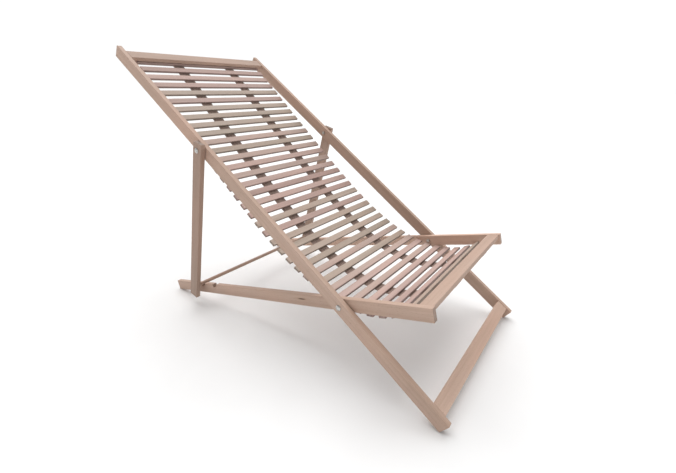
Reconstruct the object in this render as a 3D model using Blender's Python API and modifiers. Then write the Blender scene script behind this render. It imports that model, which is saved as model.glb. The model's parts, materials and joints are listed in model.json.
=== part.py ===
"""Folding wooden deck chair with a slung seat of thin slats on two webbing straps.

Axes: X is the chair's width (+X is the sitter's left), the sitter faces -Y, Z is up.
Side plane angles are measured from +Y towards +Z. Metres throughout.
"""
import math

import bmesh
import bpy
from mathutils import Vector

# ---- driving dimensions -------------------------------------------------------
RAIL_T = 0.015            # thickness of every rail and leg, across the chair
BACK_DEPTH = 0.036        # depth of the long back rails
SEAT_DEPTH = 0.034        # depth of the seat rails
PROP_DEPTH = 0.036        # depth of the prop legs
BACK_HALF_WIDTH = 0.285   # middle of the chair to the outer face of a back rail
FOLD_GAP = 0.0015         # between rails that swing past each other
FIT_GAP = 0.0003          # between glued or seated pieces

BACK_ANGLE = math.radians(35.07)    # back rails, rising to the head
SEAT_ANGLE = math.radians(-14.6)    # seat rails, falling to the rear
PROP_ANGLE = math.radians(-74.29)   # prop legs, falling from their bolts

BACK_TO_HEAD = 1.063      # seat pivot to the head end of a back rail
BACK_TO_FOOT = 0.357      # seat pivot to the foot end
SEAT_TO_FRONT = 0.241     # seat pivot to the front end of a seat rail
PROP_BOLT = 0.5887        # seat pivot to the prop bolt, along the back rail
PROP_STUB = 0.0216        # prop bolt to the leg's upper end
PROP_REACH = 0.539        # prop bolt to the leg's lower end

BAR_T = 0.012             # thickness of the flat cross bars
BAR_W = 0.0345            # width of the flat cross bars
HEAD_BAR_AT = 1.021       # middle of the head bar along the back rails
FOOT_BAR_AT = -0.322      # middle of the foot bar along the back rails
FRONT_BAR_AT = -0.2205    # middle of the front bar along the seat rails

DOWEL_R = 0.0062          # prop bar
DOWEL_AT = 0.4955         # prop bolt to the prop bar, along the leg
DOWEL_OFFSET = -0.0045    # prop bar off the leg's centre line, towards the front
NOTCH_W = 0.020
NOTCH_DEPTH = 0.0114
NOTCH_STEP = 0.072        # spacing of the two notches in each seat rail
NOTCH_COUNT = 2

SLAT_COUNT = 35
UPPER_SLATS = 18          # slats that swing on the back frame; the rest swing on the seat frame
SLAT_PITCH = 0.0356
SLAT_W = 0.0200
SLAT_T = 0.0075
SLAT_HALF_LENGTH = 0.2530
SLING_HEAD_AT = 0.9915    # webbing between slats one and two, along the back rails
SLING_HEAD_UP = -0.0046   # and above their centre line
SLING_SLOPE = 6.6         # degrees the upper sling drops away from the back rails
SLING_CURL = 88.0         # degrees it curls up towards the front bar
SLING_POWER = 5.15        # how late the curl comes
FOLD = math.radians(33.0)           # turn of the seat frame from standing to folded
SLIDE_BELOW = math.radians(1.0)     # a slat that turns less than this only shifts
ARC_ROUNDS = 50                     # halvings when the folded sling's arc is fitted

WEB_W = 0.040
WEB_T = 0.0014
WEB_AT = 0.107            # middle of the chair to the middle of a strap
WEB_SLACK = 0.00015       # webbing to slat
WEB_END_MARGIN = 0.002    # strap ends short of the bars' far edges
WEB_HEAD_RUN = 0.009      # where a strap leaves the head bar's underside, past its middle
WEB_FRONT_LEAD = 0.004    # where it meets the front bar, ahead of the bar's edge

BOLT_R = 0.003
BOLT_CLEARANCE = 0.00005
BOLT_HEAD_R = 0.0075
BOLT_HEAD_H = 0.0035
BOLT_DOME = ((1.0, 0.35), (0.72, 0.85), (0.35, 1.0))   # shares of the head's radius and height
NUT_R = 0.0062
NUT_H = 0.005
NUT_SIDES = 6
EDGE = 0.0010             # eased edges on the wood
ROUND_STEPS = 32
MERGE = 0.00005           # turned bodies close on their axis within this
CUT = 0.02                # how far cutters run past a face

# ---- derived ------------------------------------------------------------------
SEAT_HALF_WIDTH = BACK_HALF_WIDTH - RAIL_T - FOLD_GAP
PROP_HALF_WIDTH = BACK_HALF_WIDTH + FOLD_GAP + RAIL_T


def along(angle):
    return Vector((0.0, math.cos(angle), math.sin(angle)))


def above(angle):
    return Vector((0.0, -math.sin(angle), math.cos(angle)))


BACK_DIR, BACK_UP = along(BACK_ANGLE), above(BACK_ANGLE)
SEAT_DIR, SEAT_UP = along(SEAT_ANGLE), above(SEAT_ANGLE)

PIVOT_Z = BACK_TO_FOOT * BACK_DIR.z + BACK_DEPTH / 2 * BACK_UP.z
REAR_Y = BACK_TO_HEAD * BACK_DIR.y - BACK_DEPTH / 2 * BACK_UP.y
FRONT_Y = -BACK_TO_FOOT * BACK_DIR.y + BACK_DEPTH / 2 * BACK_UP.y
PIVOT = Vector((0.0, -(REAR_Y + FRONT_Y) / 2, PIVOT_Z))
SEAT_TO_REAR = (PIVOT_Z - SEAT_DEPTH / 2 * SEAT_UP.z) / -SEAT_DIR.z
PROP_PIVOT = PIVOT + PROP_BOLT * BACK_DIR

# ---- scene and helpers --------------------------------------------------------
for old in list(bpy.data.objects):
    bpy.data.objects.remove(old, do_unlink=True)

PARTS = bpy.data.collections.new("folding_deck_chair")
CUTTERS = bpy.data.collections.new("cutters")
bpy.context.scene.collection.children.link(PARTS)
bpy.context.scene.collection.children.link(CUTTERS)


def material(name, colour, roughness, metallic=0.0):
    mat = bpy.data.materials.new(name)
    mat.use_nodes = True
    shader = mat.node_tree.nodes["Principled BSDF"]
    shader.inputs["Base Color"].default_value = (*colour, 1.0)
    shader.inputs["Roughness"].default_value = roughness
    shader.inputs["Metallic"].default_value = metallic
    mat.diffuse_color = (*colour, 1.0)
    return mat


RAIL_WOOD = material("beech_rails", (0.62, 0.44, 0.33), 0.6)
SLAT_WOOD = material("beech_slats", (0.70, 0.52, 0.42), 0.6)
WEBBING = material("webbing", (0.30, 0.20, 0.17), 0.9)
STEEL = material("zinc_steel", (0.62, 0.62, 0.60), 0.35, 1.0)


def frame_empty(name, location, angle):
    empty = bpy.data.objects.new(name, None)
    empty.location = location
    empty.rotation_euler.x = angle
    PARTS.objects.link(empty)
    return empty


def add_object(name, mesh, mat=None, parent=None, collection=PARTS):
    obj = bpy.data.objects.new(name, mesh)
    collection.objects.link(obj)
    if mat:
        mesh.materials.append(mat)
    obj.parent = parent
    return obj


def box_mesh(name, size, centre):
    bm = bmesh.new()
    bmesh.ops.create_cube(bm, size=1.0)
    bmesh.ops.scale(bm, vec=size, verts=bm.verts)
    bmesh.ops.translate(bm, vec=centre, verts=bm.verts)
    mesh = bpy.data.meshes.new(name)
    bm.to_mesh(mesh)
    bm.free()
    return mesh


def ease(obj):
    bevel = obj.modifiers.new("eased_edges", "BEVEL")
    bevel.width = EDGE
    bevel.segments = 1
    bevel.limit_method = "ANGLE"
    return obj


def board(name, size, centre, mat, parent):
    return add_object(name, box_mesh(name, size, centre), mat, parent)


def cut(obj, mesh, name):
    cutter = add_object(name, mesh, parent=obj.parent, collection=CUTTERS)
    cutter.hide_render = True
    cutter.display_type = "WIRE"
    boolean = obj.modifiers.new(name, "BOOLEAN")
    boolean.operation = "DIFFERENCE"
    boolean.solver = "EXACT"
    boolean.object = cutter


def cross_cylinder(name, radius, half_length, centre):
    """A cylinder along X, as a mesh in its parent's frame."""
    bm = bmesh.new()
    bmesh.ops.create_cone(bm, cap_ends=True, segments=ROUND_STEPS, radius1=radius,
                          radius2=radius, depth=2 * half_length)
    for vert in bm.verts:
        vert.co = Vector((vert.co.z, vert.co.x, vert.co.y)) + centre
    mesh = bpy.data.meshes.new(name)
    bm.to_mesh(mesh)
    bm.free()
    return mesh


def bolt_hole(obj, centre):
    name = obj.name + "_hole"
    cut(obj, cross_cylinder(name, BOLT_R + BOLT_CLEARANCE, RAIL_T + CUT, centre), name)


def lathe(name, profile, mat, location, axis_angle):
    """Closed round body: a profile of (radius, height) turned about its height axis."""
    mesh = bpy.data.meshes.new(name)
    verts = [(radius, 0.0, height) for radius, height in profile]
    edges = [(i, i + 1) for i in range(len(verts) - 1)]
    mesh.from_pydata(verts, edges, [])
    obj = add_object(name, mesh, mat)
    obj.location = location
    obj.rotation_euler.y = axis_angle
    screw = obj.modifiers.new("turned", "SCREW")
    screw.angle = 2 * math.pi
    screw.steps = ROUND_STEPS
    screw.render_steps = ROUND_STEPS
    screw.use_merge_vertices = True
    screw.merge_threshold = MERGE
    screw.use_normal_calculate = True
    screw.use_smooth_shade = True
    return obj


def bolt(name, outer_face, grip, side, at):
    """Domed bolt whose head sits on the outer face; grip is the clamped thickness."""
    tip = -grip - NUT_H
    profile = [(0.0, tip), (BOLT_R, tip), (BOLT_R, FIT_GAP), (BOLT_HEAD_R, FIT_GAP)]
    for radius_share, height_share in BOLT_DOME:
        profile.append((BOLT_HEAD_R * radius_share, FIT_GAP + BOLT_HEAD_H * height_share))
    profile.append((0.0, FIT_GAP + BOLT_HEAD_H))
    location = Vector((side * outer_face, at.y, at.z))
    return lathe(name, profile, STEEL, location, side * math.pi / 2)


def nut(name, inner_face, side, at):
    """Hexagon nut against the inner face."""
    bm = bmesh.new()
    bmesh.ops.create_cone(bm, cap_ends=True, segments=NUT_SIDES, radius1=NUT_R,
                          radius2=NUT_R, depth=NUT_H)
    mesh = bpy.data.meshes.new(name)
    bm.to_mesh(mesh)
    bm.free()
    obj = add_object(name, mesh, STEEL)
    obj.rotation_euler.y = math.pi / 2
    obj.location = (side * (inner_face - FIT_GAP - NUT_H / 2), at.y, at.z)
    bore = bmesh.new()
    bmesh.ops.create_cone(bore, cap_ends=True, segments=ROUND_STEPS, depth=NUT_H + CUT,
                          radius1=BOLT_R + BOLT_CLEARANCE, radius2=BOLT_R + BOLT_CLEARANCE)
    bore_mesh = bpy.data.meshes.new(name + "_bore")
    bore.to_mesh(bore_mesh)
    bore.free()
    cut(obj, bore_mesh, name + "_bore")
    cutter = bpy.data.objects[name + "_bore"]
    cutter.rotation_euler = obj.rotation_euler
    cutter.location = obj.location
    return obj


SIDES = (("left", 1), ("right", -1))
back = frame_empty("back_frame_axes", PIVOT, BACK_ANGLE)
seat = frame_empty("seat_frame_pivot", PIVOT, SEAT_ANGLE)
prop = frame_empty("prop_pivot", PROP_PIVOT, PROP_ANGLE)

# ---- back frame ---------------------------------------------------------------
for label, side in SIDES:
    length = BACK_TO_HEAD + BACK_TO_FOOT
    centre = (side * (BACK_HALF_WIDTH - RAIL_T / 2), (BACK_TO_HEAD - BACK_TO_FOOT) / 2, 0.0)
    rail = ease(board("back_rail_" + label, (RAIL_T, length, BACK_DEPTH), centre,
                      RAIL_WOOD, back))
    bolt_hole(rail, Vector((centre[0], 0.0, 0.0)))
    cutter_name = "back_rail_" + label + "_prop_hole"
    cut(rail, cross_cylinder(cutter_name, BOLT_R + BOLT_CLEARANCE, RAIL_T + CUT,
                             Vector((centre[0], PROP_BOLT, 0.0))), cutter_name)

back_bar_length = 2 * (BACK_HALF_WIDTH - RAIL_T - FIT_GAP)
for bar_name, bar_at in (("head_bar", HEAD_BAR_AT), ("foot_bar", FOOT_BAR_AT)):
    ease(board(bar_name, (back_bar_length, BAR_W, BAR_T),
               (0.0, bar_at, (BACK_DEPTH - BAR_T) / 2 - EDGE), RAIL_WOOD, back))

# ---- seat frame ---------------------------------------------------------------
prop_bar = PROP_PIVOT + DOWEL_AT * along(PROP_ANGLE) + DOWEL_OFFSET * above(PROP_ANGLE)
prop_bar_in_seat = prop_bar - PIVOT
notch_at = prop_bar_in_seat.dot(SEAT_DIR)
for label, side in SIDES:
    length = SEAT_TO_FRONT + SEAT_TO_REAR
    centre = (side * (SEAT_HALF_WIDTH - RAIL_T / 2), (SEAT_TO_REAR - SEAT_TO_FRONT) / 2, 0.0)
    rail = ease(board("seat_rail_" + label, (RAIL_T, length, SEAT_DEPTH), centre,
                      RAIL_WOOD, seat))
    bolt_hole(rail, Vector((centre[0], 0.0, 0.0)))
    for index in range(NOTCH_COUNT):
        name = "notch_%s_%d" % (label, index + 1)
        notch_centre = (centre[0], notch_at - index * NOTCH_STEP,
                        SEAT_DEPTH / 2 - NOTCH_DEPTH / 2 + CUT / 2)
        cut(rail, box_mesh(name, (RAIL_T + CUT, NOTCH_W, NOTCH_DEPTH + CUT), notch_centre),
            name)

ease(board("seat_front_bar", (2 * (SEAT_HALF_WIDTH - RAIL_T - FIT_GAP), BAR_W, BAR_T),
           (0.0, FRONT_BAR_AT, (SEAT_DEPTH - BAR_T) / 2 - EDGE), RAIL_WOOD, seat))

# ---- prop ---------------------------------------------------------------------
for label, side in SIDES:
    centre = (side * (PROP_HALF_WIDTH - RAIL_T / 2), (PROP_REACH - PROP_STUB) / 2, 0.0)
    leg = ease(board("prop_leg_" + label, (RAIL_T, PROP_REACH + PROP_STUB, PROP_DEPTH),
                     centre, RAIL_WOOD, prop))
    bolt_hole(leg, Vector((centre[0], 0.0, 0.0)))

dowel_half = PROP_HALF_WIDTH - RAIL_T - FIT_GAP
dowel = add_object("prop_bar", cross_cylinder("prop_bar", DOWEL_R, dowel_half,
                                              Vector((0.0, DOWEL_AT, DOWEL_OFFSET))),
                   RAIL_WOOD, prop)
for polygon in dowel.data.polygons:
    polygon.use_smooth = len(polygon.vertices) == 4

# ---- pivot bolts --------------------------------------------------------------
for label, side in SIDES:
    bolt("seat_pivot_bolt_" + label, BACK_HALF_WIDTH, 2 * RAIL_T + FOLD_GAP, side, PIVOT)
    nut("seat_pivot_nut_" + label, SEAT_HALF_WIDTH - RAIL_T, side, PIVOT)
    bolt("prop_bolt_" + label, PROP_HALF_WIDTH, 2 * RAIL_T + FOLD_GAP, side, PROP_PIVOT)
    nut("prop_nut_" + label, BACK_HALF_WIDTH - RAIL_T, side, PROP_PIVOT)


# ---- sling --------------------------------------------------------------------
def slat_angle(index):
    """World angle of slat number index, counted from 1 at the head."""
    if index == 1:
        return BACK_ANGLE
    share = (index - 0.5) / SLAT_COUNT
    return BACK_ANGLE + math.radians(SLING_SLOPE - SLING_CURL * share ** SLING_POWER)


first_gap = PIVOT + SLING_HEAD_AT * BACK_DIR + SLING_HEAD_UP * BACK_UP
gaps = [first_gap + SLAT_PITCH * along(slat_angle(1)), first_gap]
for index in range(2, SLAT_COUNT + 1):
    gaps.append(gaps[-1] - SLAT_PITCH * along(slat_angle(index)))


def turned(point, centre, angle):
    """The point swung about the X axis through centre."""
    reach = point - centre
    return centre + Vector((0.0, math.cos(angle) * reach.y - math.sin(angle) * reach.z,
                            math.sin(angle) * reach.y + math.cos(angle) * reach.z))


def arc_angle(index, chord_angle, bend):
    """Angle of a slat when the sling hangs as an arc that bends once per slat."""
    return chord_angle + ((SLAT_COUNT + 1) / 2 - index) * bend


def arc_bend(chord):
    """Bend per slat that makes the sling span the chord."""
    low, high = 0.0, math.pi / SLAT_COUNT
    for _ in range(ARC_ROUNDS):
        bend = (low + high) / 2
        span = sum(SLAT_PITCH * math.cos(arc_angle(index, 0.0, bend))
                   for index in range(1, SLAT_COUNT + 1))
        if span > chord:
            low = bend
        else:
            high = bend
    return low


folded_chord = gaps[0] - turned(gaps[-1], PIVOT, FOLD)
chord_angle = math.atan2(folded_chord.z, folded_chord.y)
bend = arc_bend(folded_chord.length)
folded_gaps = [gaps[0]]
for index in range(1, SLAT_COUNT + 1):
    run = SLAT_PITCH * along(arc_angle(index, chord_angle, bend))
    folded_gaps.append(folded_gaps[-1] - run)


def swing_centre(index):
    """Point about which a slat turns, on its own frame, between standing and folded."""
    rest = (gaps[index - 1] + gaps[index]) / 2
    folded = (folded_gaps[index - 1] + folded_gaps[index]) / 2
    turn = arc_angle(index, chord_angle, bend) - slat_angle(index)
    if index > UPPER_SLATS:
        folded = turned(folded, PIVOT, -FOLD)
        turn -= FOLD
    if abs(turn) < SLIDE_BELOW:
        return rest
    shift = folded - rest
    return (rest + folded) / 2 + Vector((0.0, -shift.z, shift.y)) / (2 * math.tan(turn / 2))


for index in range(1, SLAT_COUNT + 1):
    angle = slat_angle(index)
    centre = swing_centre(index)
    reach = (gaps[index - 1] + gaps[index]) / 2 - centre
    middle = (0.0, reach.dot(along(angle)), reach.dot(above(angle)) + WEB_SLACK + SLAT_T / 2)
    slat = ease(board("slat_%02d" % index, (2 * SLAT_HALF_LENGTH, SLAT_W, SLAT_T), middle,
                      SLAT_WOOD, None))
    slat.location = centre
    slat.rotation_euler.x = angle

head_bar_low = (BACK_DEPTH / 2 - EDGE - BAR_T) - 2 * FIT_GAP
front_bar_low = (SEAT_DEPTH / 2 - EDGE - BAR_T) - 2 * FIT_GAP
web_path = [
    PIVOT + (HEAD_BAR_AT + BAR_W / 2 - WEB_END_MARGIN) * BACK_DIR + head_bar_low * BACK_UP,
    PIVOT + (HEAD_BAR_AT + WEB_HEAD_RUN) * BACK_DIR + head_bar_low * BACK_UP,
    PIVOT + HEAD_BAR_AT * BACK_DIR + (SLING_HEAD_UP - WEB_SLACK) * BACK_UP,
]
for index in range(1, SLAT_COUNT + 1):
    lift = -WEB_SLACK * above(slat_angle(index))
    web_path.append(gaps[index] + lift)
web_path += [
    PIVOT + (FRONT_BAR_AT + BAR_W / 2 + WEB_FRONT_LEAD) * SEAT_DIR + front_bar_low * SEAT_UP,
    PIVOT + (FRONT_BAR_AT - BAR_W / 2 + WEB_END_MARGIN) * SEAT_DIR + front_bar_low * SEAT_UP,
]


def web_strap(name, x_centre):
    bm = bmesh.new()
    verts = [bm.verts.new((x_centre - WEB_W / 2, p.y, p.z)) for p in web_path]
    edges = [bm.edges.new(pair) for pair in zip(verts, verts[1:])]
    extruded = bmesh.ops.extrude_edge_only(bm, edges=edges)["geom"]
    moved = [item for item in extruded if isinstance(item, bmesh.types.BMVert)]
    bmesh.ops.translate(bm, vec=(WEB_W, 0.0, 0.0), verts=moved)
    for face in bm.faces:
        face.normal_update()
        if face.normal.z < 0.0:
            face.normal_flip()
    mesh = bpy.data.meshes.new(name)
    bm.to_mesh(mesh)
    bm.free()
    strap = add_object(name, mesh, WEBBING)
    solid = strap.modifiers.new("webbing_thickness", "SOLIDIFY")
    solid.thickness = WEB_T
    solid.offset = -1.0
    solid.use_even_offset = True
    return strap


for label, side in SIDES:
    web_strap("webbing_" + label, side * WEB_AT)
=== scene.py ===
"""Looks of the folding deck chair: beech, woven webbing, zinc bolts, floor and light."""
import json
import math

import bmesh
import bpy
from mathutils import Euler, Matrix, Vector


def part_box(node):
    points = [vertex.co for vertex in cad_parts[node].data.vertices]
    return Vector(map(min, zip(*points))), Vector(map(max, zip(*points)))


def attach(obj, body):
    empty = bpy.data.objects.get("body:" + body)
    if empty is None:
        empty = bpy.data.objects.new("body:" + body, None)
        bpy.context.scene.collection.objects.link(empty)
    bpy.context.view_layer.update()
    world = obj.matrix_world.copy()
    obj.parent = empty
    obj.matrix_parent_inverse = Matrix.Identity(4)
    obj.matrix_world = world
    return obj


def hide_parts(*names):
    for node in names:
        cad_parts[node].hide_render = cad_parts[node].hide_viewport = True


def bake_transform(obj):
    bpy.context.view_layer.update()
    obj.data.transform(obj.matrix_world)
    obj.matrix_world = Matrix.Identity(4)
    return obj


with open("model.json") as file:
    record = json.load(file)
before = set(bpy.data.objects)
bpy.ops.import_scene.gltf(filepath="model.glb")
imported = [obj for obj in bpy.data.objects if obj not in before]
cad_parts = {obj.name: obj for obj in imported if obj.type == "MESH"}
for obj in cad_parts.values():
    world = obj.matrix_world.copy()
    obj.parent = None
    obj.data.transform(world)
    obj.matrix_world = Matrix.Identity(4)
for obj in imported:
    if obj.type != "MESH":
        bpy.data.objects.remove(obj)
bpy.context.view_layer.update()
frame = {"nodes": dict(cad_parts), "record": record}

JOINTS = {joint["name"]: joint for joint in frame["record"]["behaviour"]["joints"]}
PIVOT = Vector(JOINTS["seat_frame_fold"]["pos_m"])
SLATS = sum(node.startswith("slat_") for node in frame["nodes"])

# ---- camera -------------------------------------------------------------------
CAMERA_FROM_PIVOT = Vector((-0.9005, -0.4550, 0.4957))
CAMERA_HEADING = 53.464      # degrees clockwise from +Y, seen from above
CAMERA_PITCH = 21.856        # degrees below the horizon
LENS = 19.435                # millimetres
SENSOR_WIDTH = 36.0          # millimetres
CLIP_START = 0.01


def add_camera():
    data = bpy.data.cameras.new("camera")
    data.lens = LENS
    data.sensor_width = SENSOR_WIDTH
    data.clip_start = CLIP_START
    camera = bpy.data.objects.new("camera", data)
    camera.location = PIVOT + CAMERA_FROM_PIVOT
    camera.rotation_euler = Euler((math.radians(90 - CAMERA_PITCH), 0.0,
                                   -math.radians(CAMERA_HEADING)))
    bpy.context.scene.collection.objects.link(camera)
    bpy.context.scene.camera = camera


# ---- node helpers -------------------------------------------------------------
MIX_FIRST, MIX_SECOND, MIX_RESULT = 6, 7, 2      # the Mix node's colour sockets


def is_socket(value):
    return isinstance(value, bpy.types.NodeSocket)


def rgba(colour):
    return (*colour, 1.0)


def shaded(colour, by):
    return tuple(channel * by for channel in colour)


class Graph:
    """Short calls for building one material's nodes."""

    def __init__(self, name):
        self.material = bpy.data.materials.new(name)
        self.material.use_nodes = True
        self.nodes = self.material.node_tree.nodes
        self.links = self.material.node_tree.links
        self.shader = self.nodes["Principled BSDF"]

    def feed(self, socket, value):
        if is_socket(value):
            self.links.new(value, socket)
        else:
            socket.default_value = value

    def finish_with(self, name, value):
        self.feed(self.shader.inputs[name], value)

    def node(self, kind, inputs=(), **settings):
        made = self.nodes.new(kind)
        for key, value in settings.items():
            setattr(made, key, value)
        for socket, value in dict(inputs).items():
            self.feed(made.inputs[socket], value)
        return made

    def math(self, operation, first, second=0.0):
        made = self.node("ShaderNodeMath", {0: first, 1: second}, operation=operation)
        return made.outputs["Value"]

    def vector(self, operation, first, second=(0.0, 0.0, 0.0), result="Vector"):
        made = self.node("ShaderNodeVectorMath", {0: first, 1: second}, operation=operation)
        return made.outputs[result]

    def stretch(self, vector, scale=(1.0, 1.0, 1.0), turn=(0.0, 0.0, 0.0)):
        made = self.node("ShaderNodeMapping", {"Vector": vector, "Scale": scale,
                                               "Rotation": turn})
        return made.outputs["Vector"]

    def noise(self, vector, scale=1.0, detail=3.0, roughness=0.5):
        made = self.node("ShaderNodeTexNoise", {"Vector": vector, "Scale": scale,
                                                "Detail": detail, "Roughness": roughness})
        return made.outputs["Fac"]

    def mask(self, value, low, high):
        """0 at low, 1 at high. A high below low turns the mask round."""
        made = self.node("ShaderNodeMapRange", {"Value": value, "From Min": low,
                                                "From Max": high})
        return made.outputs["Result"]

    def spread(self, value, low, high):
        """Takes a value from 0 to 1 to the range from low to high."""
        made = self.node("ShaderNodeMapRange", {"Value": value, "To Min": low,
                                                "To Max": high})
        return made.outputs["Result"]

    def ramp(self, value, *stops):
        """Colour that runs between two stops, each a position and a colour."""
        made = self.node("ShaderNodeValToRGB", {"Fac": value})
        for element, (position, colour) in zip(made.color_ramp.elements, stops):
            element.position = position
            element.color = rgba(colour)
        return made.outputs["Color"]

    def tint(self, colour, target, mask, amount=1.0):
        """Takes colour towards target where mask is 1, by amount."""
        made = self.node("ShaderNodeMix", data_type="RGBA")
        self.feed(made.inputs["Factor"], self.math("MULTIPLY", mask, amount))
        self.feed(made.inputs[MIX_FIRST], colour)
        self.feed(made.inputs[MIX_SECOND], target if is_socket(target) else rgba(target))
        return made.outputs[MIX_RESULT]

    def bump(self, height, strength, distance, normal=None):
        made = self.node("ShaderNodeBump", {"Height": height, "Strength": strength,
                                            "Distance": distance})
        if normal is not None:
            self.feed(made.inputs["Normal"], normal)
        return made.outputs["Normal"]


# ---- beech --------------------------------------------------------------------
WARM = (1.04, 0.93, 0.88)            # redder patches, as a share of the pale colour
RINGS = (260.0, 260.0, 90.0)         # rings on the end grain, per metre
EDGE_PAINTED_SHADE = 0.45                    # painted shade on a slat's edges, as a share of the dark colour
BEECH_SPECULAR = 0.35
BEECH_ROUGHNESS = (0.50, 0.68)
KNOT_SIZE = (0.016, 0.0022)          # half its length along the grain, half its height
KNOT_INWARD = 10.0                   # per metre, so it fades slowly into the board
KNOT_EYE = (0.10, 0.055, 0.032)
KNOT_HALO = (0.34, 0.21, 0.13)


def beech(name, pale, dark, grain, offset, knot=None, face_up=None):
    """Unfinished beech. grain is its direction, a unit vector in the YZ plane or +X.

    offset moves the figure, so that no two boards are alike. knot is a knot's centre.
    face_up is a thin board's upper normal: its edges get painted shade, darker than its
    faces.
    """
    g = Graph(name)
    coords = g.node("ShaderNodeTexCoord")
    tilt = 0.0 if grain.x else math.atan2(grain.z, grain.y)
    level = (-tilt, 0.0, 0.0)
    placed = g.vector("ADD", g.stretch(coords.outputs["Object"], turn=level), offset)

    def figure(along, across, detail, roughness):
        scale = (along, across, across) if grain.x else (across, along, across)
        return g.noise(g.stretch(placed, scale), detail=detail, roughness=roughness)

    def squareness(direction):
        """1 where a face looks straight along a direction, either way."""
        cosine = g.vector("DOT_PRODUCT", coords.outputs["Normal"], direction, "Value")
        return g.math("ABSOLUTE", cosine)

    streaks = figure(along=1.6, across=55.0, detail=4.0, roughness=0.55)
    fibres = figure(along=9.0, across=620.0, detail=2.0, roughness=0.6)
    patches = figure(along=3.0, across=9.0, detail=2.0, roughness=0.5)
    specks = figure(along=150.0, across=900.0, detail=1.0, roughness=0.5)
    flecks = g.mask(specks, low=0.64, high=0.74)

    warm = tuple(channel * share for channel, share in zip(pale, WARM))
    colour = g.ramp(g.mask(streaks, low=0.33, high=0.68), (0.0, dark), (1.0, pale))
    colour = g.tint(colour, warm, g.mask(patches, low=0.42, high=0.70), amount=0.55)
    colour = g.tint(colour, shaded(dark, by=0.72), g.mask(fibres, low=0.45, high=0.75),
                    amount=0.22)
    colour = g.tint(colour, shaded(dark, by=0.55), flecks, amount=0.40)
    if face_up is not None:
        # Painted shade: a thin board's edges are darker than its faces.
        edge_shade_mask = g.mask(squareness(face_up), low=0.85, high=0.50)
        colour = g.tint(colour, shaded(dark, by=EDGE_PAINTED_SHADE), edge_shade_mask, amount=0.85)

    rings = g.noise(g.stretch(placed, RINGS), roughness=0.6)
    end_colour = g.ramp(rings, (0.3, shaded(dark, by=0.50)), (0.7, shaded(pale, by=0.82)))
    colour = g.tint(colour, end_colour, g.mask(squareness(grain), low=0.85, high=0.97))

    if knot is not None:
        half_length, half_height = KNOT_SIZE
        away = g.vector("SUBTRACT", coords.outputs["Object"], knot)
        sized = g.stretch(g.stretch(away, turn=level),
                          (KNOT_INWARD, 1.0 / half_length, 1.0 / half_height))
        span = g.vector("LENGTH", sized, result="Value")
        wobble = g.math("MULTIPLY", g.math("SUBTRACT", fibres, 0.5), 0.5)
        eye = g.mask(g.math("ADD", span, wobble), low=1.1, high=0.5)
        colour = g.tint(colour, KNOT_HALO, g.mask(span, low=2.6, high=0.8), amount=0.35)
        colour = g.tint(colour, KNOT_EYE, eye)

    g.finish_with("Base Color", colour)
    g.finish_with("Roughness", g.spread(streaks, *BEECH_ROUGHNESS))
    g.finish_with("Specular IOR Level", BEECH_SPECULAR)
    relief = g.bump(fibres, strength=0.20, distance=0.0004)
    relief = g.bump(flecks, strength=0.25, distance=-0.0002, normal=relief)
    g.finish_with("Normal", relief)
    return g.material


# ---- zinc ---------------------------------------------------------------------
ZINC_DULL = (0.40, 0.39, 0.37)
ZINC_BRIGHT = (0.66, 0.66, 0.64)
ZINC_ROUGHNESS = (0.24, 0.46)


def zinc():
    g = Graph("zinc_plate")
    coords = g.node("ShaderNodeTexCoord").outputs["Object"]
    spangle = g.noise(coords, scale=900.0, roughness=0.6)
    tarnish = g.noise(coords, scale=220.0, detail=2.0)
    g.finish_with("Base Color", g.ramp(tarnish, (0.3, ZINC_DULL), (0.7, ZINC_BRIGHT)))
    g.finish_with("Metallic", 1.0)
    g.finish_with("Roughness", g.spread(spangle, *ZINC_ROUGHNESS))
    g.finish_with("Normal", g.bump(spangle, strength=0.25, distance=0.0002))
    return g.material


# ---- webbing ------------------------------------------------------------------
WARP_PITCH = 0.0016                  # metres from thread to thread across the strap
WEFT_PITCH = 0.0022                  # and along it
FUZZ = (900.0, 2600.0, 1.0)          # per metre, along and across the strap
SOIL = (14.0, 40.0, 1.0)
WEB_SOILED = (0.23, 0.150, 0.120)
WEB_CLEAN = (0.36, 0.250, 0.205)
# painted shade in the weave's grooves
WEB_GROOVE_SHADE = (0.15, 0.095, 0.075)
WEB_FUZZ = (0.54, 0.41, 0.35)
WEB_ROUGHNESS = 0.9
WEB_SHEEN = 0.25
WEB_SHEEN_ROUGHNESS = 0.5


def webbing():
    """Plain woven tape: U runs along the strap and V across it, both in metres."""
    g = Graph("woven_webbing")
    uv = g.node("ShaderNodeUVMap").outputs["UV"]
    parts = g.node("ShaderNodeSeparateXYZ", {"Vector": uv})

    def wave(value, pitch):
        return g.math("SINE", g.math("MULTIPLY", value, math.tau / pitch))

    warp = wave(parts.outputs["Y"], WARP_PITCH)
    weft = wave(parts.outputs["X"], WEFT_PITCH)
    crossings = g.math("MULTIPLY", g.math("MULTIPLY", warp, weft), 0.35)
    ribs = g.math("MULTIPLY", g.math("ABSOLUTE", warp), 0.5)
    height = g.math("ADD", crossings, ribs)
    fuzz = g.noise(g.stretch(uv, FUZZ), roughness=0.6)
    soil = g.noise(g.stretch(uv, SOIL))

    colour = g.ramp(g.mask(soil, low=0.3, high=0.7), (0.0, WEB_SOILED), (1.0, WEB_CLEAN))
    # Painted shade where the weave dips between threads.
    colour = g.tint(colour, WEB_GROOVE_SHADE, g.mask(height, low=0.25, high=-0.35))
    colour = g.tint(colour, WEB_FUZZ, g.mask(fuzz, low=0.5, high=0.75), amount=0.25)
    g.finish_with("Base Color", colour)
    g.finish_with("Roughness", WEB_ROUGHNESS)
    g.finish_with("Sheen Weight", WEB_SHEEN)
    g.finish_with("Sheen Roughness", WEB_SHEEN_ROUGHNESS)
    relief = g.bump(fuzz, strength=0.3, distance=0.0002)
    g.finish_with("Normal", g.bump(height, strength=0.8, distance=0.0004, normal=relief))
    return g.material


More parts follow.
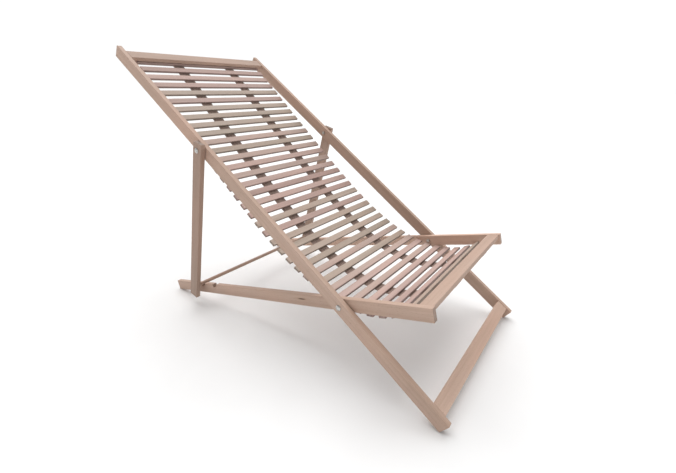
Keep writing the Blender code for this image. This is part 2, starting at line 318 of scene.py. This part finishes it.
# ---- wood and metal on the CAD nodes ---------------------------------------------
SEAT_TILT = math.radians(-14.6)      # seat rails, falling towards the rear
PROP_TILT = math.radians(-74.29)     # prop legs, from their bolts down towards the rear
ACROSS = Vector((1.0, 0.0, 0.0))
BACK_GRAIN = (Vector(JOINTS["prop_swing"]["pos_m"]) - PIVOT).normalized()
SEAT_GRAIN = Vector((0.0, math.cos(SEAT_TILT), math.sin(SEAT_TILT)))
PROP_GRAIN = Vector((0.0, math.cos(PROP_TILT), math.sin(PROP_TILT)))
SEAT_NORMAL = Vector((0.0, -SEAT_GRAIN.z, SEAT_GRAIN.y))

RAIL_PALE = (0.522, 0.376, 0.300)
RAIL_DARK = (0.412, 0.283, 0.216)
RAILS = (                            # node, grain, offset of the figure, painted light and shade as a factor on the colour
    ("back_rail_left", BACK_GRAIN, (0.31, 0.10, 0.0), 1.0),
    ("back_rail_right", BACK_GRAIN, (0.0, 0.0, 0.0), 1.03),
    ("seat_rail_left", SEAT_GRAIN, (0.55, 0.40, 0.1), 1.25),
    ("prop_leg_left", PROP_GRAIN, (0.20, 0.70, 0.0), 0.80),
    ("prop_leg_right", PROP_GRAIN, (0.90, 0.20, 0.3), 0.76),
    ("head_bar", ACROSS, (0.10, 0.0, 0.5), 0.90),
    ("foot_bar", ACROSS, (0.60, 0.3, 0.5), 1.15),
    ("seat_front_bar", ACROSS, (0.40, 0.8, 0.2), 0.93),
    ("prop_bar", ACROSS, (0.70, 0.1, 0.9), 0.85),
)
KNOTTY_RAIL = ("seat_rail_right", SEAT_GRAIN, (0.0, 0.3, 0.7), 1.0)
KNOT_BEHIND_PIVOT = 0.1405
KNOT_UP = 0.0028

SLAT_TINTS = (                       # pale and dark
    ((0.520, 0.400, 0.350), (0.420, 0.310, 0.265)),
    ((0.490, 0.398, 0.335), (0.395, 0.310, 0.252)),
    ((0.540, 0.400, 0.355), (0.440, 0.305, 0.265)),
    ((0.465, 0.382, 0.320), (0.370, 0.298, 0.240)),
    ((0.500, 0.365, 0.325), (0.400, 0.275, 0.240)),
)
SLAT_FIGURE_STEP = 0.13
SHARP_ANGLE = math.radians(35)


def dress(node, material):
    data = frame["nodes"][node].data
    data.materials.clear()
    data.materials.append(material)


def dress_rail(node, grain, offset, painted_light_factor, knot=None):
    # Painted light and shade: the factor makes each board lighter or darker for how it is
    # lit.
    pale, dark = shaded(RAIL_PALE, painted_light_factor), shaded(RAIL_DARK, painted_light_factor)
    dress(node, beech("beech_" + node, pale, dark, grain, offset, knot=knot))


def dress_frames():
    for rail in RAILS:
        dress_rail(*rail)
    low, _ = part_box("seat_rail_right")
    centre = PIVOT + KNOT_BEHIND_PIVOT * SEAT_GRAIN + KNOT_UP * SEAT_NORMAL
    dress_rail(*KNOTTY_RAIL, knot=Vector((low.x, centre.y, centre.z)))


def slat_name(index):
    """Both the node and the body of a slat, numbered from the head."""
    return "slat_%02d" % index


def dress_slats():
    for index in range(1, SLATS + 1):
        node = slat_name(index)
        pale, dark = SLAT_TINTS[(index * 7 + index // 3) % len(SLAT_TINTS)]
        _, normal = underside(node)
        dress(node, beech("beech_" + node, pale, dark, ACROSS,
                          (SLAT_FIGURE_STEP * index, 0.0, 0.0), face_up=normal))


def dress_metal():
    metal = zinc()
    for node, obj in frame["nodes"].items():
        if "bolt" in node or "nut" in node:
            dress(node, metal)
            obj.data.shade_smooth()
            obj.data.set_sharp_from_angle(angle=SHARP_ANGLE)


# ---- webbing straps --------------------------------------------------------------
WEB_THICKNESS = 0.0014
UNDER_SLAT = 0.0002          # gap between the slats' undersides and the webbing
UNDER_BAR = 0.0006           # and between the bars' undersides and its ends
HALF_SLAT = 0.0100
HALF_BAR = 0.01725
BAR_MARGIN = 0.002           # the webbing ends this far short of the bars' far edges
HEAD_LEAVE = 0.009           # it leaves the head bar this far above the bar's middle
FRONT_LEAD = 0.004           # it is level with the front bar this far before the bar
BUTT_GAP = 0.00013           # each piece ends this far short of its neighbour
EDGE_STEPS = 4
FLAT_STEPS = 3
BEND_STEPS = 6
SAME_FACE = 0.999            # cosine between the normals of one flat face's triangles


def underside(node):
    """Middle of a board's downward face, and the unit normal of its upper side."""
    obj = frame["nodes"][node]
    turn = obj.matrix_world.to_3x3()
    faces = obj.data.polygons
    largest = max((face for face in faces if (turn @ face.normal).z < 0.0),
                  key=lambda face: face.area)
    normal = (turn @ largest.normal).normalized()
    middle, area = Vector(), 0.0
    for face in faces:
        if (turn @ face.normal).dot(normal) > SAME_FACE:
            middle += face.area * (obj.matrix_world @ face.center)
            area += face.area
    middle /= area
    middle.x = 0.0
    return middle, -normal


def downhill(normal):
    """Unit direction along a strap, from the head towards the front."""
    return Vector((0.0, -normal.z, normal.y))


def strap_section():
    """Corners of one strap's section, round at its edges, its upper face at height 0."""
    low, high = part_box("webbing_left")
    half_width = (high.x - low.x) / 2
    half = WEB_THICKNESS / 2
    corners = []
    for side, half_turn in ((1, 0.0), (-1, math.pi)):
        for step in range(EDGE_STEPS + 1):
            angle = math.pi / 2 - math.pi * step / EDGE_STEPS + half_turn
            corners.append((side * (half_width - half) + half * math.cos(angle),
                            half * math.sin(angle) - half))
    return corners


def add_tape(bm, uv_layer, section, path, x_centre, start):
    """One closed tape. start is how far along the strap its path begins, for its UVs."""
    count = len(section)
    rows = []
    travelled = start
    for index, point in enumerate(path):
        if index:
            travelled += (point - path[index - 1]).length
        ahead = path[min(index + 1, len(path) - 1)] - path[max(index - 1, 0)]
        up = Vector((0.0, ahead.z, -ahead.y)).normalized()
        row = [bm.verts.new(point + Vector((x_centre + x, 0.0, 0.0)) + z * up)
               for x, z in section]
        rows.append((row, travelled))
    for (first, u_first), (second, u_second) in zip(rows, rows[1:]):
        for k in range(count):
            j = (k + 1) % count
            face = bm.faces.new((first[k], second[k], second[j], first[j]))
            face.smooth = True
            corners = ((u_first, k), (u_second, k), (u_second, j), (u_first, j))
            for loop, (u, item) in zip(face.loops, corners):
                loop[uv_layer].uv = (u, section[item][0])
    bm.faces.new(rows[0][0])
    bm.faces.new(rows[-1][0])


def strap_piece(name, path, start):
    """Two closed tapes, one on each side, with their upper faces along path."""
    low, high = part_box("webbing_left")
    side_x = (low.x + high.x) / 2
    section = strap_section()
    bm = bmesh.new()
    uv_layer = bm.loops.layers.uv.new("UVMap")
    for x_centre in (side_x, -side_x):
        add_tape(bm, uv_layer, section, path, x_centre, start)
    bmesh.ops.recalc_face_normals(bm, faces=bm.faces)
    mesh = bpy.data.meshes.new(name)
    bm.to_mesh(mesh)
    bm.free()
    piece = bpy.data.objects.new(name, mesh)
    bpy.context.scene.collection.objects.link(piece)
    return piece


def line(start, end):
    return [start.lerp(end, step / FLAT_STEPS) for step in range(FLAT_STEPS + 1)]


def bend(start, start_run, end, end_run):
    """Points strictly between start and end on a smooth curve with those directions."""
    reach = (end - start).length / 3
    handles = (start, start + reach * start_run, end - reach * end_run, end)
    points = []
    for step in range(1, BEND_STEPS):
        t = step / BEND_STEPS
        weights = ((1 - t) ** 3, 3 * t * (1 - t) ** 2, 3 * t * t * (1 - t), t ** 3)
        points.append(sum((w * h for w, h in zip(weights, handles)), Vector()))
    return points


def shorten(points, end):
    """Ends a path a hair short, so that neighbouring pieces only meet."""
    inner = points[1] if end == 0 else points[-2]
    points[end] = points[end] + BUTT_GAP * (inner - points[end]).normalized()
    return points


def build_webbing():
    """A piece under each slat that rides it, and two ends that reach to the bars.

    Neighbouring pieces meet in the middle of the gap between two slats.
    """
    fabric = webbing()
    middles, runs = {}, {}
    for index in range(1, SLATS + 1):
        middle, normal = underside(slat_name(index))
        middles[index] = middle - UNDER_SLAT * normal
        runs[index] = downhill(normal)

    def edge(index, side):
        return middles[index] + side * HALF_SLAT * runs[index]

    def gap(index):
        """Curve of the webbing between a slat and the next one."""
        return bend(edge(index, 1), runs[index], edge(index + 1, -1), runs[index + 1])

    def finish_piece(piece):
        piece.data.materials.append(fabric)
        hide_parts("webbing_left", "webbing_right")

    half = BEND_STEPS // 2
    travelled = 0.0
    for index in range(1, SLATS + 1):
        above = line(edge(index, -1), middles[index])
        below = line(middles[index], edge(index, 1))
        if index == 1:
            path = below
        else:
            path = shorten(gap(index - 1)[half - 1:] + above, 0)
            if index < SLATS:
                path += below[1:]
        if index < SLATS:
            path = shorten(path + gap(index)[:half], -1)
        piece = strap_piece("webbing_%02d" % index, path, travelled)
        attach(piece, slat_name(index))
        finish_piece(piece)
        travelled += (path[-1] - path[0]).length

    under, normal = underside("head_bar")
    run = downhill(normal)
    level = under - UNDER_BAR * normal
    leave = level - HEAD_LEAVE * run
    path = line(level - (HALF_BAR - BAR_MARGIN) * run, leave)
    path += bend(leave, run, edge(1, -1), runs[1])
    path += line(edge(1, -1), middles[1])
    piece = strap_piece("webbing_head_end", path, 0.0)
    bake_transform(piece)
    finish_piece(piece)

    under, normal = underside("seat_front_bar")
    run = downhill(normal)
    level = under - UNDER_BAR * normal
    arrive = level - (HALF_BAR + FRONT_LEAD) * run
    path = line(middles[SLATS], edge(SLATS, 1))
    path += bend(edge(SLATS, 1), runs[SLATS], arrive, run)
    path += line(arrive, level + (HALF_BAR - BAR_MARGIN) * run)
    piece = strap_piece("webbing_front_end", path, travelled)
    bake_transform(piece)
    finish_piece(piece)


# ---- floor and light -------------------------------------------------------------
FLOOR_SIZE = 120.0
FLOOR_DARK = (0.83, 0.83, 0.83)
FLOOR_PALE = (0.86, 0.86, 0.86)
FLOOR_ROUGHNESS = 0.9
SKY_FADE = (0.22, 0.50)              # sine of the elevation where the sky starts to dim
SKY_STRENGTH = (1.02, 0.30)          # near the horizon and overhead
WHITE = (1.0, 1.0, 1.0)
LAMP_POWER = 3.1
LAMP_SOFTNESS = math.radians(70)
LAMP_DIRECTION = Vector((-0.25, -0.30, -1.0))


def floor_finish():
    g = Graph("pale_floor")
    coords = g.node("ShaderNodeTexCoord").outputs["Object"]
    mottle = g.noise(coords, scale=3.0)
    g.finish_with("Base Color", g.ramp(mottle, (0.3, FLOOR_DARK), (0.7, FLOOR_PALE)))
    g.finish_with("Roughness", FLOOR_ROUGHNESS)
    grit = g.noise(coords, scale=400.0)
    g.finish_with("Normal", g.bump(grit, strength=0.05, distance=0.0005))
    return g.material


def add_floor():
    bm = bmesh.new()
    bmesh.ops.create_grid(bm, x_segments=1, y_segments=1, size=FLOOR_SIZE / 2)
    mesh = bpy.data.meshes.new("floor")
    bm.to_mesh(mesh)
    bm.free()
    mesh.materials.append(floor_finish())
    floor = bpy.data.objects.new("floor", mesh)
    bpy.context.scene.collection.objects.link(floor)


def add_sky():
    world = bpy.data.worlds.new("studio")
    world.use_nodes = True
    nodes, links = world.node_tree.nodes, world.node_tree.links
    coords = nodes.new("ShaderNodeTexCoord")
    parts = nodes.new("ShaderNodeSeparateXYZ")
    fade = nodes.new("ShaderNodeMapRange")
    for socket, value in zip(("From Min", "From Max", "To Min", "To Max"),
                             SKY_FADE + SKY_STRENGTH):
        fade.inputs[socket].default_value = value
    links.new(coords.outputs["Generated"], parts.inputs["Vector"])
    links.new(parts.outputs["Z"], fade.inputs["Value"])
    nodes["Background"].inputs["Color"].default_value = rgba(WHITE)
    links.new(fade.outputs["Result"], nodes["Background"].inputs["Strength"])
    bpy.context.scene.world = world


def add_lamp():
    data = bpy.data.lights.new("overhead_softbox", "SUN")
    data.energy = LAMP_POWER
    data.angle = LAMP_SOFTNESS
    lamp = bpy.data.objects.new("overhead_softbox", data)
    lamp.rotation_euler = LAMP_DIRECTION.to_track_quat("-Z", "Y").to_euler()
    bpy.context.scene.collection.objects.link(lamp)


add_camera()
dress_frames()
dress_slats()
dress_metal()
build_webbing()
add_floor()
add_sky()
add_lamp()
bpy.context.scene.view_settings.view_transform = "Standard"
